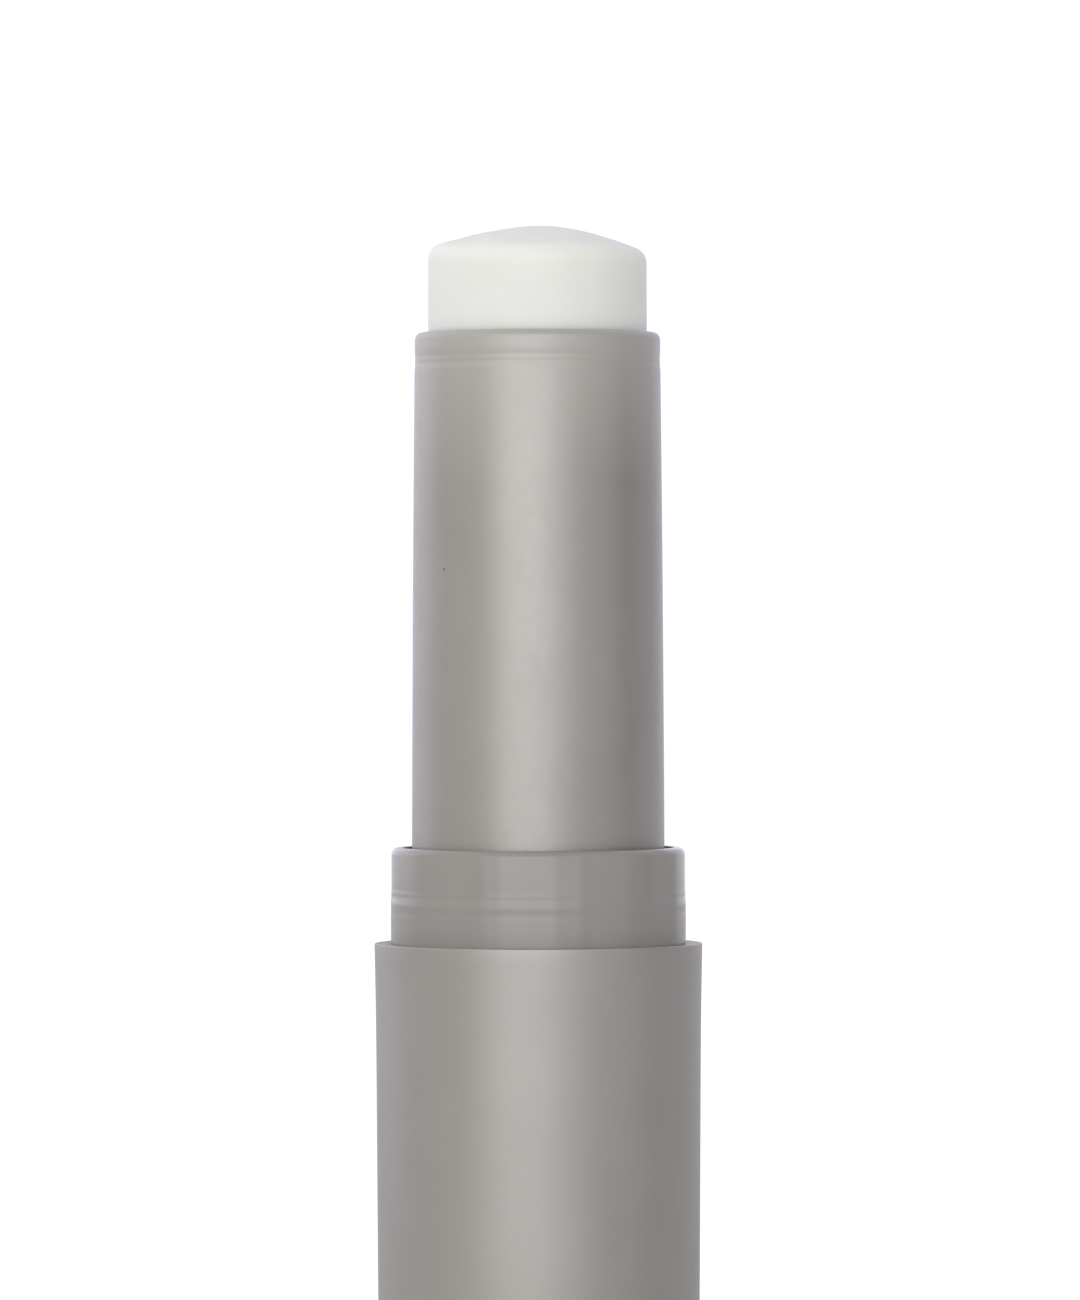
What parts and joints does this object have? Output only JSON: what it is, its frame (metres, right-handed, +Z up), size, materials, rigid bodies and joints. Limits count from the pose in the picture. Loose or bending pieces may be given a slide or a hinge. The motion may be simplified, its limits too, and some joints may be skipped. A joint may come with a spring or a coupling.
{
  "type": "twist-up balm stick",
  "caption": "Twist-up cosmetic balm stick with its cap off: turning the slim barrel in the wide base makes a feed screw lift the cup that carries the domed balm.",
  "frame": {"origin": "centre of the foot, on the plane that the base stands on", "axes": "+Z up along the stick's axis, which the barrel turns about; the view in the picture looks along +Y"},
  "size_m": [0.024, 0.024, 0.0845],
  "materials": {
    "satin_grey": "satin moulded grey plastic",
    "gloss_grey": "semi-gloss moulded grey plastic",
    "white_plastic": "natural moulded plastic",
    "silicone": "matt silicone",
    "balm": "smooth off-white wax balm"
  },
  "bodies": {
    "base": {"base_sleeve": "satin_grey", "base_core": "white_plastic", "collar": "gloss_grey", "spindle": "white_plastic", "drag_washer": "silicone"},
    "barrel": {"barrel": "satin_grey"},
    "elevator": {"elevator_cup": "white_plastic", "balm": "balm"}
  },
  "joints": [
    {"name": "twist", "type": "hinge", "parent": "base", "child": "barrel", "pos_m": [0, 0, 0.02], "axis": [0, 0, 1], "range_deg": [-526, 2971]},
    {"name": "feed", "type": "slide", "parent": "barrel", "child": "elevator", "axis": [0, 0, 1], "range_m": [-0.00875, 0.0495]}
  ],
  "couplings": [
    {"joint": "twist", "follows": "feed", "rad_per_m": 1047.2}
  ]
}
